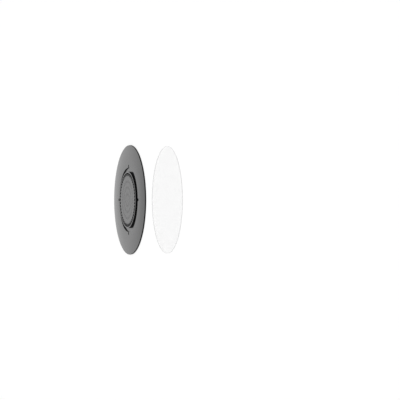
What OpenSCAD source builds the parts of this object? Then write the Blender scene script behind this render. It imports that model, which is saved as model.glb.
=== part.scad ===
// Adhesive magnetic phone patch: a thin moulded disc with a magnetic boss in a ring recess,
// and the clear adhesive disc that bonds it, laid beside it on the same surface.
// Millimetres. The origin is the centre of the patch on its bonding face, and +Z leaves its front.

/* [Patch plate] */
// Diameter of the whole patch
patch_d = 62; // [56:0.5:76]
// Thickness of the plate at its rim
rim_t = 0.75; // [0.5:0.05:0.9]
// Angle that the domed face turns through between the recess and the rim, in degrees
dome_turn = 4.8; // [1:0.1:5]
// Break on the plate's outer edges
rim_break = 0.12; // [0.05:0.01:0.18]

/* [Ring recess] */
// Diameter of the recess at its outer lip
lip_d = 36.4; // [35:0.2:44]
// Depth of the recess below the lip
moat_depth = 0.65; // [0.3:0.05:0.8]
// Break on the edge of the lip
lip_break = 0.2; // [0.05:0.01:0.25]

/* [Index notches] */
// Number of notches round the lip
notch_n = 4; // [2:1:8]
// Length of a notch beyond the lip
notch_len = 1.65; // [0.8:0.05:3]
// Width of a notch
notch_w = 1.3; // [0.8:0.05:2]

/* [Boss] */
// Diameter of the boss
boss_d = 32; // [31.4:0.2:34]
// Height of the boss above the lip
boss_rise = 0.6; // [0.4:0.05:0.8]
// Thickness of the upright wall round the cap
wall_t = 0.75; // [0.6:0.05:1]
// Break on the edges of the wall's top
wall_break = 0.12; // [0.04:0.01:0.2]

/* [Toothed cap] */
// Thickness of the cap
cap_t = 0.6; // [0.5:0.05:1]
// Width of the groove between the roots of the teeth and the wall
groove_w = 1.55; // [1.3:0.05:1.7]
// Depth of the groove below the cap's ledge
groove_depth = 0.5; // [0.2:0.05:0.65]
// Height of a tooth
tooth_h = 1; // [0.6:0.05:1.2]
// Number of teeth
tooth_n = 48; // [36:4:56]
// Width of the space between two teeth
space_w = 1.1; // [0.8:0.05:1.2]
// Radius in the corners at the roots of the teeth
root_fillet = 0.12; // [0.05:0.01:0.3]
// Break on the edge of the cap's face
cap_break = 0.08; // [0.03:0.01:0.12]
// Diameter of the spigot under the cap
spigot_d = 4; // [3:0.1:5]
// Space between the spigot's end and the keeper
spigot_gap = 0.2; // [0.1:0.05:0.5]

/* [Magnets and keeper] */
// Diameter of a magnet
magnet_d = 9; // [6:0.5:9.5]
// Thickness of a magnet
magnet_t = 0.9; // [0.8:0.05:1.2]
// Diameter of the circle through the magnets' centres
magnet_pcd = 16; // [14.5:0.5:17]
// Diameter of the steel keeper
keeper_d = 26; // [25.2:0.2:27.6]
// Thickness of the steel keeper
keeper_t = 0.35; // [0.25:0.05:0.5]
// Depth that the keeper sits below the bonding face
keeper_sink = 0.05; // [0.02:0.01:0.1]

/* [Adhesive disc] */
// Distance that the adhesive disc stays inside the patch's edge
adhesive_margin = 0.6; // [0.2:0.1:2]
// Thickness of the adhesive disc
adhesive_t = 0.5; // [0.2:0.05:1]
// Space between the patch and the adhesive disc beside it
laid_gap = 12.4; // [5:0.2:30]

/* [Clearances] */
// Clearance round and above a magnet
magnet_clear = 0.05; // [0.03:0.01:0.1]
// Clearance round the keeper
keeper_clear = 0.1; // [0.05:0.01:0.15]
// Clearance round the spigot
spigot_clear = 0.05; // [0.03:0.01:0.1]

/* [Hidden] */
$fn = 96;
magnet_n = 4;
// Overlap that lets a cut run clean through a face
cut = 0.5;

// Radii
patch_r = patch_d / 2;
lip_r = lip_d / 2;
boss_r = boss_d / 2;
groove_r = boss_r - wall_t;
root_r = groove_r - groove_w;
tip_r = root_r + tooth_h;
keeper_r = keeper_d / 2;
keeper_hole_r = keeper_r + keeper_clear;
adhesive_r = patch_r - adhesive_margin;

// Heights, stacked from the bonding face
magnet_z = keeper_sink + keeper_t;
ledge_z = magnet_z + magnet_t + magnet_clear;
spigot_z = magnet_z + spigot_gap;
trench_z = ledge_z - groove_depth;
boss_z = ledge_z + cap_t;
lip_z = boss_z - boss_rise;
moat_z = lip_z - moat_depth;

// The dome is one arc from the break at the lip down to the break at the rim
dome_in_r = lip_r + lip_break;
dome_out_r = patch_r - rim_break;
dome_run = dome_out_r - dome_in_r;
dome_fall = lip_z - rim_t;
dome_chord = norm([dome_run, dome_fall]);
dome_r = dome_chord / 2 / sin(dome_turn / 2);
dome_start = atan2(dome_fall, dome_run) - dome_turn / 2;
dome_centre = [dome_in_r - dome_r * sin(dome_start), lip_z - dome_r * cos(dome_start)];
dome_steps = 16;

tooth_pitch = 360 / tooth_n;
notch_pitch = 360 / notch_n;
magnet_pitch = 360 / magnet_n;

// A point of the domed face, with share 0 at the lip and 1 at the rim
function dome_point(share) =
    let (angle = dome_start + dome_turn * share)
    dome_centre + dome_r * [sin(angle), cos(angle)];

// Half of the body's section, from the axis outwards, as [radius, height]
function body_section() = concat(
    [
        [0, magnet_z],
        [keeper_hole_r, magnet_z],
        [keeper_hole_r, 0],
        [patch_r - rim_break, 0],
        [patch_r, rim_break],
        [patch_r, rim_t - rim_break]
    ],
    [for (i = [dome_steps : -1 : 0]) dome_point(i / dome_steps)],
    [
        [lip_r, lip_z - lip_break],
        [lip_r, moat_z],
        [boss_r, moat_z],
        [boss_r, boss_z - wall_break],
        [boss_r - wall_break, boss_z],
        [groove_r + wall_break, boss_z],
        [groove_r, boss_z - wall_break],
        [groove_r, trench_z],
        [root_r, trench_z],
        [root_r, ledge_z],
        [0, ledge_z]
    ]
);

// Copies the children onto the magnets' circle, at one place
module at_magnet(i) {
    rotate([0, 0, i * magnet_pitch]) translate([magnet_pcd / 2, 0, 0]) children();
}

// One radial notch with a round end, cut outwards from the lip
module notch() {
    end_x = lip_r + notch_len - notch_w / 2;
    translate([0, 0, moat_z]) linear_extrude(height = moat_depth + cut) union() {
        translate([boss_r, -notch_w / 2]) square([end_x - boss_r, notch_w]);
        translate([end_x, 0]) circle(d = notch_w);
    }
}

// Moulded disc with the ring recess, its notches, the boss wall, the groove and the pockets behind the cap
module patch_body() {
    color([0.13, 0.13, 0.135]) difference() {
        rotate_extrude() polygon(body_section());
        for (i = [0 : notch_n - 1]) rotate([0, 0, i * notch_pitch]) notch();
        for (i = [0 : magnet_n - 1]) at_magnet(i)
            translate([0, 0, magnet_z - cut])
                cylinder(r = magnet_d / 2 + magnet_clear, h = ledge_z - magnet_z + 2 * cut);
        translate([0, 0, magnet_z - cut])
            cylinder(r = spigot_d / 2 + spigot_clear, h = ledge_z - magnet_z + 2 * cut);
    }
}

// Space between two teeth, on the X axis, with its two root corners filleted
module tooth_space() {
    translate([root_r + root_fillet, -space_w / 2]) square([tooth_h + cut, space_w]);
    translate([root_r, root_fillet - space_w / 2]) square([tooth_h, space_w - 2 * root_fillet]);
    for (side = [-1, 1])
        translate([root_r + root_fillet, side * (space_w / 2 - root_fillet)]) circle(r = root_fillet);
}

// Outline of the cap: a disc with the spaces cut into its edge, one on each notch's line
module cap_outline() {
    difference() {
        circle(r = tip_r);
        for (i = [0 : tooth_n - 1]) rotate(i * tooth_pitch) tooth_space();
    }
}

// Cap with teeth on its edge and a spigot below, seated on the ledge inside the boss wall
module toothed_cap() {
    color([0.15, 0.15, 0.155]) union() {
        intersection() {
            translate([0, 0, ledge_z]) linear_extrude(height = cap_t) cap_outline();
            rotate_extrude() polygon([
                [0, ledge_z],
                [tip_r + cut, ledge_z],
                [tip_r + cut, boss_z - cap_break - cut],
                [tip_r - cap_break, boss_z],
                [0, boss_z]
            ]);
        }
        translate([0, 0, spigot_z]) cylinder(d = spigot_d, h = boss_z - cap_t / 2 - spigot_z);
    }
}

// One sealed disc magnet, on the keeper
module magnet(i) {
    color([0.75, 0.76, 0.78]) at_magnet(i)
        translate([0, 0, magnet_z]) cylinder(d = magnet_d, h = magnet_t);
}

// Thin steel disc behind the magnets
module keeper_plate() {
    color([0.6, 0.61, 0.63]) translate([0, 0, keeper_sink]) cylinder(r = keeper_r, h = keeper_t);
}

// Clear double-sided adhesive disc, taken off and laid beside the patch
module adhesive_disc() {
    color([0.95, 0.95, 0.95, 0.4])
        translate([0, -(patch_r + laid_gap + adhesive_r), 0]) cylinder(r = adhesive_r, h = adhesive_t);
}

patch_body();
toothed_cap();
magnet(0);  // magnet_1
magnet(1);  // magnet_2
magnet(2);  // magnet_3
magnet(3);  // magnet_4
keeper_plate();
adhesive_disc();
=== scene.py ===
import math

import bpy
from mathutils import Matrix, Vector


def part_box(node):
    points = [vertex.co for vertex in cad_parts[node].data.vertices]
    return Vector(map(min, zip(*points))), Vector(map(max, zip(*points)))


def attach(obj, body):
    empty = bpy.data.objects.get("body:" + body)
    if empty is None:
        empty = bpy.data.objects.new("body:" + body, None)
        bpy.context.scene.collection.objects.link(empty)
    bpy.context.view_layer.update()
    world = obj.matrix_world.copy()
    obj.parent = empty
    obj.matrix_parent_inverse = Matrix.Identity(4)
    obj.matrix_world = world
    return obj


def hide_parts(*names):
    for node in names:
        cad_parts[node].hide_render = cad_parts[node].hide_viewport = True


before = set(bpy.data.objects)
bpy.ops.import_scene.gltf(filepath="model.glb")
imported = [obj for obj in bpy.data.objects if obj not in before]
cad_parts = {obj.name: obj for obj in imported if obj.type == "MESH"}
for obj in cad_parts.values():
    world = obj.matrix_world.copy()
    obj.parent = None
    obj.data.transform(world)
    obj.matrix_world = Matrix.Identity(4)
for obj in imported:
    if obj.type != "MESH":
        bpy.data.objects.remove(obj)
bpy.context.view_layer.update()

mm = 0.001
scene = bpy.context.scene


# Small helpers

def paint(hexCode):   # a screen colour such as "#1b1b1c" as the linear values that a shader wants
    parts = [int(hexCode[i:i + 2], 16) / 255 for i in (1, 3, 5)]
    return [p / 12.92 if p <= 0.04045 else ((p + 0.055) / 1.055) ** 2.4 for p in parts] + [1.0]


def addNode(tree, kind, settings=None, links=None):   # a key is a property, or a socket's name or number
    node = tree.nodes.new(kind)
    for key, value in (settings or {}).items():
        if isinstance(key, int) or key in node.inputs:
            node.inputs[key].default_value = value
        else:
            setattr(node, key, value)
    for key, source in (links or {}).items():
        tree.links.new(source, node.inputs[key])
    return node


def newMaterial(name):
    material = bpy.data.materials.new(name)
    material.use_nodes = True
    material.node_tree.nodes.clear()
    return material, material.node_tree


def wear(node, material):   # puts a finish on a CAD node
    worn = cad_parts[node].data.materials
    worn.clear()
    worn.append(material)


# Camera

cameraView = {
    "elevation": 16.44,         # degrees above the plane that the discs lie in
    "frameWidth": 226.8 * mm,   # without perspective, because both discs show as true ellipses
    "distance": 1.5,
    "reach": (0.1, 60),         # nearest and farthest distances that it sees
    "right": 39.955 * mm,       # from the patch's centre to the picture's centre
    "up": -0.085 * mm,
    "height": 0.75 * mm,        # of the point that these two start from
}


def makeCamera(view):
    tilt = math.radians(view["elevation"])
    across = Vector((0, -math.sin(tilt), -math.cos(tilt)))   # the patch faces left in the picture
    upwards = Vector((1, 0, 0))
    back = across.cross(upwards)
    aim = Vector((0, 0, view["height"])) + across * view["right"] + upwards * view["up"]
    data = bpy.data.cameras.new("photoCamera")
    data.type, data.ortho_scale = "ORTHO", view["frameWidth"]
    data.clip_start, data.clip_end = view["reach"]
    camera = bpy.data.objects.new("photoCamera", data)
    turn = Matrix((across, upwards, back)).transposed()
    camera.matrix_world = Matrix.Translation(aim + back * view["distance"]) @ turn.to_4x4()
    scene.collection.objects.link(camera)
    scene.camera = camera


makeCamera(cameraView)
print("camera done")


# Studio: pale floor, white surroundings, one broad lamp behind and a weak one in front

studio = {
    "floorSize": 12.0,
    "floorDrop": 0.05 * mm,        # just below the film's underside
    "floorColour": "#f5f5f5",
    "floorGlow": 0.64,             # share of the seen floor that glows white, so that shadows stay faint
    "surroundings": 0.60,          # light from the room on everything
    "lowLight": 1.165,             # the room as a reflection shows it, low down and higher up
    "highLight": 0.885,
    "lightChange": (0.10, 0.45),   # sines of the elevations that it changes between
    "backLamp": {"azimuth": 90, "elevation": 70, "spread": 60, "strength": 1.4},
    "frontLamp": {"azimuth": 250, "elevation": 60, "spread": 60, "strength": 0.35},
}


def seenRay(tree):   # 1 for a ray that comes from the camera, a reflection or a clear thing
    path = addNode(tree, "ShaderNodeLightPath")
    direct = addNode(tree, "ShaderNodeMath", {"operation": "MAXIMUM"},
                     {0: path.outputs["Is Camera Ray"], 1: path.outputs["Is Glossy Ray"]})
    every = addNode(tree, "ShaderNodeMath", {"operation": "MAXIMUM"},
                    {0: direct.outputs[0], 1: path.outputs["Is Transmission Ray"]})
    return every.outputs[0]


def makeStudio(s):
    world = bpy.data.worlds.new("softRoom")
    world.use_nodes = True
    tree = world.node_tree
    tree.nodes.clear()
    direction = addNode(tree, "ShaderNodeTexCoord").outputs["Generated"]
    height = addNode(tree, "ShaderNodeSeparateXYZ", links={0: direction}).outputs["Z"]
    room = addNode(tree, "ShaderNodeMapRange", {
        "From Min": s["lightChange"][0], "From Max": s["lightChange"][1],
        "To Min": s["lowLight"], "To Max": s["highLight"]}, {"Value": height})
    level = addNode(tree, "ShaderNodeMapRange", {"To Min": s["surroundings"]},
                    {"Value": seenRay(tree), "To Max": room.outputs["Result"]})
    light = addNode(tree, "ShaderNodeBackground", {"Color": (1, 1, 1, 1)},
                    {"Strength": level.outputs["Result"]})
    addNode(tree, "ShaderNodeOutputWorld", links={"Surface": light.outputs[0]})
    scene.world = world

    half = s["floorSize"] / 2
    corners = [(x * half, y * half, -s["floorDrop"]) for x, y in ((-1, -1), (1, -1), (1, 1), (-1, 1))]
    mesh = bpy.data.meshes.new("studioFloor")
    mesh.from_pydata(corners, [], [(0, 1, 2, 3)])
    floor = bpy.data.objects.new("studioFloor", mesh)
    scene.collection.objects.link(floor)
    material, tree = newMaterial("paleFloorBoard")
    plain = addNode(tree, "ShaderNodeBsdfDiffuse", {"Color": paint(s["floorColour"])})
    glow = addNode(tree, "ShaderNodeEmission", {"Color": (1, 1, 1, 1), "Strength": 1.0})
    share = addNode(tree, "ShaderNodeMath", {"operation": "MULTIPLY", 1: s["floorGlow"]},
                    {0: seenRay(tree)})
    both = addNode(tree, "ShaderNodeMixShader", links={
        "Fac": share.outputs[0], 1: plain.outputs[0], 2: glow.outputs[0]})
    addNode(tree, "ShaderNodeOutputMaterial", links={"Surface": both.outputs[0]})
    mesh.materials.append(material)

    for name in ("backLamp", "frontLamp"):
        lamp = s[name]
        data = bpy.data.lights.new(name, "SUN")
        data.energy, data.angle = lamp["strength"], math.radians(lamp["spread"])
        obj = bpy.data.objects.new(name, data)
        turn, lift = math.radians(lamp["azimuth"]), math.radians(lamp["elevation"])
        towards = Vector((math.cos(turn) * math.cos(lift), math.sin(turn) * math.cos(lift), math.sin(lift)))
        obj.rotation_euler = towards.to_track_quat("Z", "Y").to_euler()
        obj.location = towards
        scene.collection.objects.link(obj)


makeStudio(studio)
scene.view_settings.view_transform = "Standard"
print("studio done")


# Finishes. Each pattern is sized in real millimetres on Object coordinates

noiseReach = (0.35, 0.65)   # nearly all of a noise texture's values lie between these


def layFinish(tree, f, tone, gloss, height, glossReach=noiseReach, fixed=None):   # each finish ends in this
    tint = addNode(tree, "ShaderNodeMapRange", {"From Min": noiseReach[0], "From Max": noiseReach[1]},
                   {"Value": tone})
    colour = addNode(tree, "ShaderNodeMix", {
        "data_type": "RGBA", 6: paint(f["colour"]), 7: paint(f["otherColour"])}, {0: tint.outputs["Result"]})
    rough = addNode(tree, "ShaderNodeMapRange", {
        "From Min": glossReach[0], "From Max": glossReach[1],
        "To Min": f["roughness"][0], "To Max": f["roughness"][1]}, {"Value": gloss})
    relief = addNode(tree, "ShaderNodeBump", {"Strength": 1.0, "Distance": f["depth"]}, {"Height": height})
    surface = addNode(tree, "ShaderNodeBsdfPrincipled", fixed, {
        "Base Color": colour.outputs[2], "Roughness": rough.outputs["Result"], "Normal": relief.outputs[0]})
    addNode(tree, "ShaderNodeOutputMaterial", links={"Surface": surface.outputs[0]})


satinAbs = {   # black ABS moulded against spark-eroded steel: a soft even sheen, with a fine grain in it
    "colour": "#131314",
    "otherColour": "#19191b",
    "flow": 9 * mm,      # broad clouds between the two colours, which the melt leaves
    "grain": 0.8 * mm,   # really about 0.15 mm, drawn coarser so that it shows
    "depth": 0.006 * mm,
    "roughness": (0.09, 0.15),
    "ior": 1.56,
}


def makeSatinAbs(f):
    material, tree = newMaterial("satinMouldedAbs")
    place = addNode(tree, "ShaderNodeTexCoord").outputs["Object"]
    clouds = addNode(tree, "ShaderNodeTexNoise", {"Scale": 1 / f["flow"], "Detail": 2.0}, {"Vector": place})
    grain = addNode(tree, "ShaderNodeTexNoise", {"Scale": 1 / f["grain"], "Detail": 2.0},
                    {"Vector": place}).outputs["Fac"]
    layFinish(tree, f, clouds.outputs["Fac"], grain, grain, fixed={"IOR": f["ior"]})
    return material


turnedAbs = {   # the same ABS moulded against a turned insert: faint rings, dull and bright by turns
    "colour": "#131314",
    "otherColour": "#18181a",
    "roughness": (0.33, 0.09),   # in the dull rings and in the bright ones
    "ringPitch": 3.47 * mm,
    "firstRing": 1.72 * mm,      # radius of the innermost bright ring
    "line": 0.9 * mm,            # the turning tool's lines, really about 0.1 mm, drawn wider to show
    "depth": 0.0008 * mm,
    "ior": 1.54,
}


def makeTurnedAbs(f):
    material, tree = newMaterial("turnedMouldedAbs")
    place = addNode(tree, "ShaderNodeTexCoord").outputs["Object"]
    flat = addNode(tree, "ShaderNodeVectorMath", {"operation": "MULTIPLY", 1: (1, 1, 0)}, {0: place})
    radius = addNode(tree, "ShaderNodeVectorMath", {"operation": "LENGTH"},
                     {0: flat.outputs[0]}).outputs["Value"]
    past = addNode(tree, "ShaderNodeMath", {"operation": "SUBTRACT", 1: f["firstRing"]}, {0: radius})
    turns = addNode(tree, "ShaderNodeMath", {"operation": "MULTIPLY", 1: math.tau / f["ringPitch"]},
                    {0: past.outputs[0]})
    rings = addNode(tree, "ShaderNodeMath", {"operation": "COSINE"}, {0: turns.outputs[0]})
    lines = addNode(tree, "ShaderNodeTexNoise", {
        "noise_dimensions": "1D", "Scale": 1 / f["line"], "Detail": 1.0}, {"W": radius}).outputs["Fac"]
    layFinish(tree, f, lines, rings.outputs[0], lines, glossReach=(-1, 1), fixed={"IOR": f["ior"]})
    return material


shadedWallAbs = {   # upright walls and the groove's floor: painted shade, a colour darker than the satin ABS and a low specular level that takes the reflection off, so they read dull, almost without sheen, like the shade that falls in them
    "colour": "#090909",
    "otherColour": "#101011",
    "scuff": 0.6 * mm,   # drag marks, really about 0.1 mm, drawn coarser so that they show
    "depth": 0.01 * mm,
    "roughness": (0.52, 0.70),
    "specular": 0.08,
    "ior": 1.54,
}


def makeShadedWallAbs(f):
    material, tree = newMaterial("wallAbsWithPaintedShade")
    place = addNode(tree, "ShaderNodeTexCoord").outputs["Object"]
    scuff = addNode(tree, "ShaderNodeTexNoise", {"Scale": 1 / f["scuff"], "Detail": 3.0},
                    {"Vector": place}).outputs["Fac"]
    # painted shade: the low specular level keeps reflections off these walls so they stay dark
    layFinish(tree, f, scuff, scuff, scuff, fixed={"IOR": f["ior"], "Specular IOR Level": f["specular"]})
    return material


clearFilm = {   # cast acrylic adhesive: clear, faintly grey, softly glossy, with a slight orange-peel ripple
    "colour": "#d8d8d8",
    "otherColour": "#e2e2e2",
    "opacity": 0.11,
    "ripple": 2.5 * mm,
    "depth": 0.002 * mm,
    "roughness": (0.10, 0.16),
    "ior": 1.47,
}

cutEdgeAndShade = {   # the die's cut through the film: its grey is partly the frosted cut and partly painted shade for the dark line at a clear edge, so the edge reads as a fine grey line
    "colour": "#888888",
    "otherColour": "#989898",
    "opacity": 0.34,
    "ripple": 0.8 * mm,
    "depth": 0.01 * mm,
    "roughness": (0.35, 0.50),
    "ior": 1.47,
}


def makeFilmFinish(name, f):
    material, tree = newMaterial(name)
    place = addNode(tree, "ShaderNodeTexCoord").outputs["Object"]
    ripple = addNode(tree, "ShaderNodeTexNoise", {"Scale": 1 / f["ripple"], "Detail": 2.0},
                     {"Vector": place}).outputs["Fac"]
    layFinish(tree, f, ripple, ripple, ripple, fixed={"IOR": f["ior"], "Alpha": f["opacity"]})
    return material


nickelPlate = {   # bright nickel on a pressed magnet: warm silver, lightly clouded by the pressing's grain
    "colour": "#c8c4bb",
    "otherColour": "#b5b1a8",
    "cloud": 1.2 * mm,
    "depth": 0.004 * mm,
    "roughness": (0.16, 0.30),
}


def makeNickelPlate(f):
    material, tree = newMaterial("brightNickelPlate")
    place = addNode(tree, "ShaderNodeTexCoord").outputs["Object"]
    cloud = addNode(tree, "ShaderNodeTexNoise", {"Scale": 1 / f["cloud"], "Detail": 3.0},
                    {"Vector": place}).outputs["Fac"]
    layFinish(tree, f, cloud, cloud, cloud, fixed={"Metallic": 1.0})
    return material


zincPlate = {   # zinc plate on rolled steel: cool grey, with the rolling's long streaks showing through
    "colour": "#aeb2b6",
    "otherColour": "#92979c",
    "streak": 0.7 * mm,   # really about 0.05 mm wide, drawn coarser so that it shows
    "streakLength": 12 * mm,
    "depth": 0.003 * mm,
    "roughness": (0.28, 0.46),
}


def makeZincPlate(f):
    material, tree = newMaterial("zincPlatedSteel")
    place = addNode(tree, "ShaderNodeTexCoord").outputs["Object"]
    along = addNode(tree, "ShaderNodeMapping", {
        "Scale": (1 / f["streakLength"], 1 / f["streak"], 1 / f["streak"])}, {"Vector": place})
    streak = addNode(tree, "ShaderNodeTexNoise", {"Scale": 1.0, "Detail": 3.0},
                     {"Vector": along.outputs[0]}).outputs["Fac"]
    layFinish(tree, f, streak, streak, streak, fixed={"Metallic": 1.0})
    return material


# Rings of copies: one sector of a round piece, repeated about the axis and welded

ringJoin = {
    "weld": 0.001 * mm,               # points of neighbouring sectors that lie this near become one
    "sharpAbove": math.radians(34),   # an edge that bends more stays crisp
}


def makeRingTree():
    tree = bpy.data.node_groups.new("ringOfSectors", "GeometryNodeTree")
    inputs = {
        "Sector": "NodeSocketGeometry", "Copies": "NodeSocketInt",
        "Weld": "NodeSocketFloat", "Sharp Above": "NodeSocketFloat",
        "Finish": "NodeSocketMaterial", "Shaded Wall Finish": "NodeSocketMaterial",
    }
    for name, kind in inputs.items():
        tree.interface.new_socket(name, in_out="INPUT", socket_type=kind)
    tree.interface.new_socket("Piece", in_out="OUTPUT", socket_type="NodeSocketGeometry")
    given = addNode(tree, "NodeGroupInput").outputs
    spots = addNode(tree, "GeometryNodePoints", links={"Count": given["Copies"]})
    step = addNode(tree, "ShaderNodeMath", {"operation": "DIVIDE", 0: math.tau}, {1: given["Copies"]})
    index = addNode(tree, "GeometryNodeInputIndex")
    angle = addNode(tree, "ShaderNodeMath", {"operation": "MULTIPLY"},
                    {0: index.outputs[0], 1: step.outputs[0]})
    turn = addNode(tree, "FunctionNodeAxisAngleToRotation", {"Axis": (0, 0, 1)},
                   {"Angle": angle.outputs[0]})
    copies = addNode(tree, "GeometryNodeInstanceOnPoints", links={
        "Points": spots.outputs[0], "Instance": given["Sector"], "Rotation": turn.outputs[0]})
    solid = addNode(tree, "GeometryNodeRealizeInstances", links={"Geometry": copies.outputs[0]})
    welded = addNode(tree, "GeometryNodeMergeByDistance", links={
        "Geometry": solid.outputs[0], "Distance": given["Weld"]})
    smooth = addNode(tree, "GeometryNodeSetShadeSmooth", {"domain": "FACE"},
                     {"Geometry": welded.outputs[0]})
    bend = addNode(tree, "GeometryNodeInputMeshEdgeAngle")
    sharp = addNode(tree, "FunctionNodeCompare", {"operation": "GREATER_THAN"}, {
        "A": bend.outputs["Unsigned Angle"], "B": given["Sharp Above"]})
    edges = addNode(tree, "GeometryNodeSetShadeSmooth", {"domain": "EDGE", "Shade Smooth": False}, {
        "Geometry": smooth.outputs[0], "Selection": sharp.outputs[0]})
    finish = addNode(tree, "GeometryNodeSetMaterial", links={
        "Geometry": edges.outputs[0], "Material": given["Finish"]})
    # faces marked as walls get the second material, which carries painted shade for the shade on walls and
    # in recesses
    walls = addNode(tree, "GeometryNodeInputNamedAttribute", {"data_type": "BOOLEAN", "Name": "wall"})
    shadedWallFinish = addNode(tree, "GeometryNodeSetMaterial", links={
        "Geometry": finish.outputs[0], "Selection": walls.outputs["Attribute"],
        "Material": given["Shaded Wall Finish"]})
    addNode(tree, "NodeGroupOutput", links={"Piece": shadedWallFinish.outputs[0]})
    return tree


def ringPiece(name, sector, copies, finish, shadedWallFinish):
    mesh = bpy.data.meshes.new(name + "Sector")
    mesh.from_pydata([[c * mm for c in p] for p in sector.points], [], sector.faces)
    mesh.attributes.new("wall", "BOOLEAN", "FACE").data.foreach_set("value", sector.walls)
    source = bpy.data.objects.new(name + "Sector", mesh)
    scene.collection.objects.link(source)
    ring = source.modifiers.new("ring", "NODES")
    ring.node_group = ringTree
    values = {"Copies": copies, "Weld": ringJoin["weld"], "Sharp Above": ringJoin["sharpAbove"],
              "Finish": finish, "Shaded Wall Finish": shadedWallFinish}
    for item in ringTree.interface.items_tree:
        if item.in_out == "INPUT" and item.name in values:
            ring[item.identifier] = values[item.name]
    ready = source.evaluated_get(bpy.context.evaluated_depsgraph_get())
    piece = bpy.data.objects.new(name, bpy.data.meshes.new_from_object(ready))
    piece.data.name = name
    scene.collection.objects.link(piece)
    bpy.data.objects.remove(source)
    bpy.data.meshes.remove(mesh)
    return piece


class SectorMesh:   # collects points and faces, and notes for each face whether it is part of a wall
    def __init__(self):
        self.points, self.faces, self.walls = [], [], []

    def ring(self, points):
        first = len(self.points)
        self.points += points
        return list(range(first, len(self.points)))

    # joins two rings with as many points; it faces outwards when upper lies further along the section
    def strip(self, lower, upper, wall=False):
        for i in range(len(lower) - 1):
            kept = []   # the corners, less any that falls on another, as on the axis
            for c in (lower[i], lower[i + 1], upper[i + 1], upper[i]):
                if self.points[c] not in [self.points[k] for k in kept]:
                    kept.append(c)
            if len(kept) > 2:
                self.faces.append(kept)
                self.walls.append(wall)

    def skin(self, rings, walls=()):   # walls holds the numbers of the rings that a wall starts from
        made = [self.ring(r) for r in rings]
        for i, (lower, upper) in enumerate(zip(made, made[1:])):
            self.strip(lower, upper, i in walls)
        return made


def spread(low, high, steps):   # evenly spaced values, both ends included
    return [low + (high - low) * i / steps for i in range(steps + 1)]


def circleRing(radius, height, angles):
    return [(radius * math.cos(a), radius * math.sin(a), height) for a in angles]


def roundEdge(centre, radius, start, end, steps):   # a rounded edge in the section, angles in degrees
    turns = [math.radians(a) for a in spread(start, end, steps)]
    return [(centre[0] + radius * math.cos(a), centre[1] + radius * math.sin(a)) for a in turns]


# The moulded body: a domed disc with a ring recess, four index notches, and the boss wall

patchBody = {   # millimetres, and degrees for domeTurn, as in the CAD part
    "patchR": 31.0, "rimT": 0.75, "domeTurn": 4.8, "rimBreak": 0.12,
    "lipR": 18.2, "lipZ": 1.35, "lipBreak": 0.2, "moatZ": 0.70,
    "notchLength": 1.65, "notchWidth": 1.3,
    "bossR": 16.0, "bossZ": 1.95, "wallBreak": 0.12,
    "grooveR": 15.25, "trenchR": 13.7, "trenchZ": 0.85, "ledgeZ": 1.35,
    "pocketR": 13.1, "webZ": 0.40,
    "magnetHoleR": 4.55, "magnetX": 8.0, "spigotHoleR": 2.05,
    "sectors": 4,       # a notch and a magnet in the middle of each
    "domeRings": 14, "arcSteps": 18, "tipSteps": 12, "webSteps": 8, "edgeSteps": 4,
    "hold": 0.05,       # a narrow strip beside each rounded edge keeps the shading of the flat face flat
    "domeHold": 0.004,  # the same for the dome, as a share of its run
}


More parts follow.
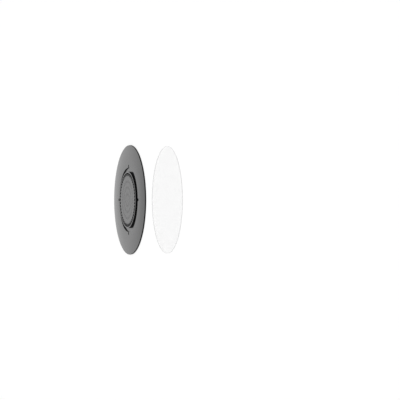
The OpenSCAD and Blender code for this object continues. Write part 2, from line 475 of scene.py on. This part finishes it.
def makeBody(b, finish, shadedWallFinish):
    side = math.pi / b["sectors"]   # angle from a sector's middle to its side

    def lipOutline(offset):   # one sector of the lip seen from the front, its notch in the middle
        radius, half = b["lipR"] + offset, b["notchWidth"] / 2 + offset
        endX = b["lipR"] + b["notchLength"] - b["notchWidth"] / 2
        corner = math.asin(half / radius)
        low = [(radius * math.cos(a), radius * math.sin(a)) for a in spread(-side, -corner, b["arcSteps"])]
        low.append(((low[-1][0] + endX) / 2, -half))
        tip = [(endX + half * math.cos(a), half * math.sin(a))
               for a in spread(-math.pi / 2, math.pi / 2, b["tipSteps"])]
        return low + tip + [(x, -y) for x, y in reversed(low)]

    innerR, outerR = b["lipR"] + b["lipBreak"], b["patchR"] - b["rimBreak"]
    run, fall = outerR - innerR, b["lipZ"] - b["rimT"]
    turn = math.radians(b["domeTurn"])
    domeR = math.hypot(run, fall) / 2 / math.sin(turn / 2)
    start = math.atan2(fall, run) - turn / 2
    middleR, middleZ = innerR - domeR * math.sin(start), b["lipZ"] - domeR * math.cos(start)

    def domeZ(radius):
        return middleZ + math.sqrt(domeR ** 2 - (radius - middleR) ** 2)

    polar = [(math.hypot(x, y), math.atan2(y, x)) for x, y in lipOutline(b["lipBreak"])]
    angles = [a for r, a in polar]

    def at(radius, height):
        return circleRing(radius, height, angles)

    def rounded(radius, height, size, first):   # a quarter turn, its centre at this radius and height
        return [at(*p) for p in roundEdge((radius, height), size, first, first + 90, b["edgeSteps"])]

    rim, edge, hold = b["rimBreak"], b["wallBreak"], b["hold"]
    rings = [at(b["pocketR"], b["webZ"]), at(b["pocketR"], 0), at(outerR - hold, 0)]
    rings += rounded(outerR, rim, rim, -90)
    rings += rounded(outerR, b["rimT"] - rim, rim, 0)
    walls = list(range(2, len(rings) - 1))   # the rim, from the flat's end to where the dome starts
    shares = [b["domeHold"]] + spread(0, 1, b["domeRings"])[1:-1] + [1 - b["domeHold"], 1]
    for share in shares:
        radii = [outerR + (r - outerR) * share for r, a in polar]
        rings.append([(r * math.cos(a), r * math.sin(a), domeZ(r)) for r, a in zip(radii, angles)])
    for bend in spread(0, 90, b["edgeSteps"])[1:]:
        lean = math.radians(bend)
        outline = lipOutline(b["lipBreak"] * (1 - math.sin(lean)))
        rings.append([(x, y, domeZ(r) - b["lipBreak"] * (1 - math.cos(lean)))
                      for (x, y), (r, a) in zip(outline, polar)])
    walls.append(len(rings) - 1)
    rings.append([(x, y, b["moatZ"]) for x, y in lipOutline(0)])
    rings += [at(b["bossR"], b["moatZ"]), at(b["bossR"], b["bossZ"] - edge - hold)]
    walls += [len(rings) - 2, len(rings) - 1]
    rings += rounded(b["bossR"] - edge, b["bossZ"] - edge, edge, 0)
    rings += [at(b["bossR"] - edge - hold, b["bossZ"]), at(b["grooveR"] + edge + hold, b["bossZ"])]
    rings += rounded(b["grooveR"] + edge, b["bossZ"] - edge, edge, 90)
    walls += range(len(rings) - 1, len(rings) + 3)   # the groove's two sides and its floor
    rings += [at(b["grooveR"], b["bossZ"] - edge - hold), at(b["grooveR"], b["trenchZ"]),
              at(b["trenchR"], b["trenchZ"]), at(b["trenchR"], b["ledgeZ"])]
    sector = SectorMesh()
    made = sector.skin(rings, walls)

    def webLoop(ring, radius, height):   # round the sector's web: ring, one side, spigot hole, other side
        radii = spread(radius, b["spigotHoleR"], b["webSteps"])[1:]
        turns = spread(side, -side, b["webSteps"])[1:-1]
        there = sector.ring([(r * math.cos(side), r * math.sin(side), height) for r in radii])
        hole = sector.ring(circleRing(b["spigotHoleR"], height, turns))
        back = sector.ring([(r * math.cos(side), -r * math.sin(side), height) for r in reversed(radii)])
        return ring + there + hole + back + ring[:1], there[-1:] + hole + back[:1]

    def fromMagnet(point):   # direction from the magnet's axis, as a unit vector
        x, y = point[0] - b["magnetX"], point[1]
        return x / math.hypot(x, y), y / math.hypot(x, y)

    top, topSpigot = webLoop(made[-1], b["trenchR"], b["ledgeZ"])
    low, lowSpigot = webLoop(made[0], b["pocketR"], b["webZ"])
    directions = [fromMagnet(sector.points[i]) for i in top[:-1]]
    holes = []
    for height in (b["ledgeZ"], b["webZ"]):
        holes.append(sector.ring([(b["magnetX"] + b["magnetHoleR"] * x, b["magnetHoleR"] * y, height)
                                  for x, y in directions]))
    upper, under = [h + h[:1] for h in holes]
    sector.strip(top, upper)
    sector.strip(list(reversed(low)), list(reversed(under)))
    sector.strip(upper, under)
    sector.strip(list(reversed(topSpigot)), list(reversed(lowSpigot)))
    return ringPiece("patchBody", sector, b["sectors"], finish, shadedWallFinish)


# The cap: a disc with teeth on its edge and a spigot below

toothedCap = {   # millimetres, as in the CAD part, but for the tips' fillets and the spigot's bevel
    "tipR": 14.7, "rootR": 13.7, "teeth": 48, "spaceWidth": 1.1, "rootFillet": 0.12, "tipFillet": 0.11,
    "faceZ": 1.95, "ledgeZ": 1.35, "capBreak": 0.08,
    "spigotR": 2.0, "spigotZ": 0.6, "spigotBreak": 0.15,
    "faceHold": 0.15,   # the plain round part of the face ends this far inside the teeth's roots
    "edgeSteps": 4, "filletSteps": 3, "hold": 0.05,
}


def makeCap(c, finish, shadedWallFinish):
    half, pitch = c["spaceWidth"] / 2, math.tau / c["teeth"]

    def outline(offset):   # one tooth space and half a tooth on each side of it
        f, g = c["rootFillet"] + offset, c["tipFillet"] - offset
        rootX, rootY = c["rootR"] + c["rootFillet"], half - c["rootFillet"]
        tipY = half + c["tipFillet"]
        tipX = math.sqrt((c["tipR"] - c["tipFillet"]) ** 2 - tipY ** 2)
        lean = math.atan2(tipY, tipX)
        steps = c["filletSteps"]
        side = [(c["rootR"] - offset, rootY / 2)]
        side += [(rootX + f * math.cos(a), rootY + f * math.sin(a))
                 for a in spread(math.pi, math.pi / 2, steps)]
        side += [(tipX + g * math.cos(a), tipY + g * math.sin(a))
                 for a in spread(-math.pi / 2, lean, steps)]
        side += [((c["tipR"] - offset) * math.cos(a), (c["tipR"] - offset) * math.sin(a))
                 for a in spread(lean, pitch / 2, steps)[1:]]
        return [(x, -y) for x, y in reversed(side)] + [(c["rootR"] - offset, 0)] + side

    angles = spread(-pitch / 2, pitch / 2, len(outline(0)) - 1)

    def at(radius, height):
        return circleRing(radius, height, angles)

    inner = c["rootR"] - c["capBreak"] - c["faceHold"]
    rings = [at(0, c["spigotZ"]), at(c["spigotR"] - c["spigotBreak"], c["spigotZ"]),
             at(c["spigotR"], c["spigotZ"] + c["spigotBreak"]),
             at(c["spigotR"], c["ledgeZ"]), at(inner, c["ledgeZ"])]
    walls = range(len(rings), len(rings) + 2)   # the teeth's upright sides
    for height in (c["ledgeZ"], c["faceZ"] - c["capBreak"] - c["hold"]):
        rings.append([(x, y, height) for x, y in outline(0)])
    for bend in spread(0, 90, c["edgeSteps"]):
        lean = math.radians(bend)
        rings.append([(x, y, c["faceZ"] - c["capBreak"] * (1 - math.sin(lean)))
                      for x, y in outline(c["capBreak"] * (1 - math.cos(lean)))])
    rings += [at(inner, c["faceZ"]), at(inner / 2, c["faceZ"]), at(0, c["faceZ"])]
    sector = SectorMesh()
    sector.skin(rings, walls)
    return ringPiece("toothedCap", sector, c["teeth"], finish, shadedWallFinish)


# The adhesive film: a die-cut disc, its top edge drawn in slightly by the cutter

adhesiveFilm = {   # millimetres, as in the CAD part, but for the two small edges
    "radius": 30.4, "thickness": 0.5, "topEdge": 0.12, "lowEdge": 0.04,
    "sectors": 48, "sectorSteps": 4, "topSteps": 5, "lowSteps": 3, "hold": 0.05,
}


def makeFilm(d, finish, edgeShadeFinish):
    angles = spread(-math.pi / d["sectors"], math.pi / d["sectors"], d["sectorSteps"])

    def at(radius, height):
        return circleRing(radius, height, angles)

    lowR, topR, topZ = d["radius"] - d["lowEdge"], d["radius"] - d["topEdge"], d["thickness"]
    rings = [at(0, 0), at(lowR - d["hold"], 0)]
    rings += [at(*p) for p in roundEdge((lowR, d["lowEdge"]), d["lowEdge"], -90, 0, d["lowSteps"])]
    cut = range(2, len(rings))   # the upright cut, from the low edge up to where the top edge starts
    rings += [at(*p) for p in roundEdge((topR, topZ - d["topEdge"]), d["topEdge"], 0, 90, d["topSteps"])]
    rings += [at(topR - d["hold"], topZ), at(topR / 2, topZ), at(0, topZ)]
    sector = SectorMesh()
    sector.skin(rings, cut)
    piece = ringPiece("adhesiveFilm", sector, d["sectors"], finish, edgeShadeFinish)
    low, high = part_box("adhesive_disc")
    piece.data.transform(Matrix.Translation(((low.x + high.x) / 2, (low.y + high.y) / 2, low.z)))
    return piece


satin = makeSatinAbs(satinAbs)
turned = makeTurnedAbs(turnedAbs)
# painted shade for upright walls and the groove: a darker, nearly sheenless ABS
wallShade = makeShadedWallAbs(shadedWallAbs)
film = makeFilmFinish("clearAdhesiveFilm", clearFilm)
# the film's cut edge: frosted grey that also carries painted shade
filmEdgeShade = makeFilmFinish("cutFilmEdgeWithShade", cutEdgeAndShade)
nickel = makeNickelPlate(nickelPlate)
zinc = makeZincPlate(zincPlate)
print("finishes done")

ringTree = makeRingTree()
body = makeBody(patchBody, satin, wallShade)
cap = makeCap(toothedCap, turned, wallShade)
disc = makeFilm(adhesiveFilm, film, filmEdgeShade)
for number in (1, 2, 3, 4):
    wear("magnet_%d" % number, nickel)
wear("keeper_plate", zinc)
for piece, node, slot in ((body, "patch_body", "body_plastic"), (cap, "toothed_cap", "cap_plastic"),
                          (disc, "adhesive_disc", "adhesive_clear")):
    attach(piece, "root")
    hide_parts(node)
    print(piece.name, len(piece.data.polygons), "faces")
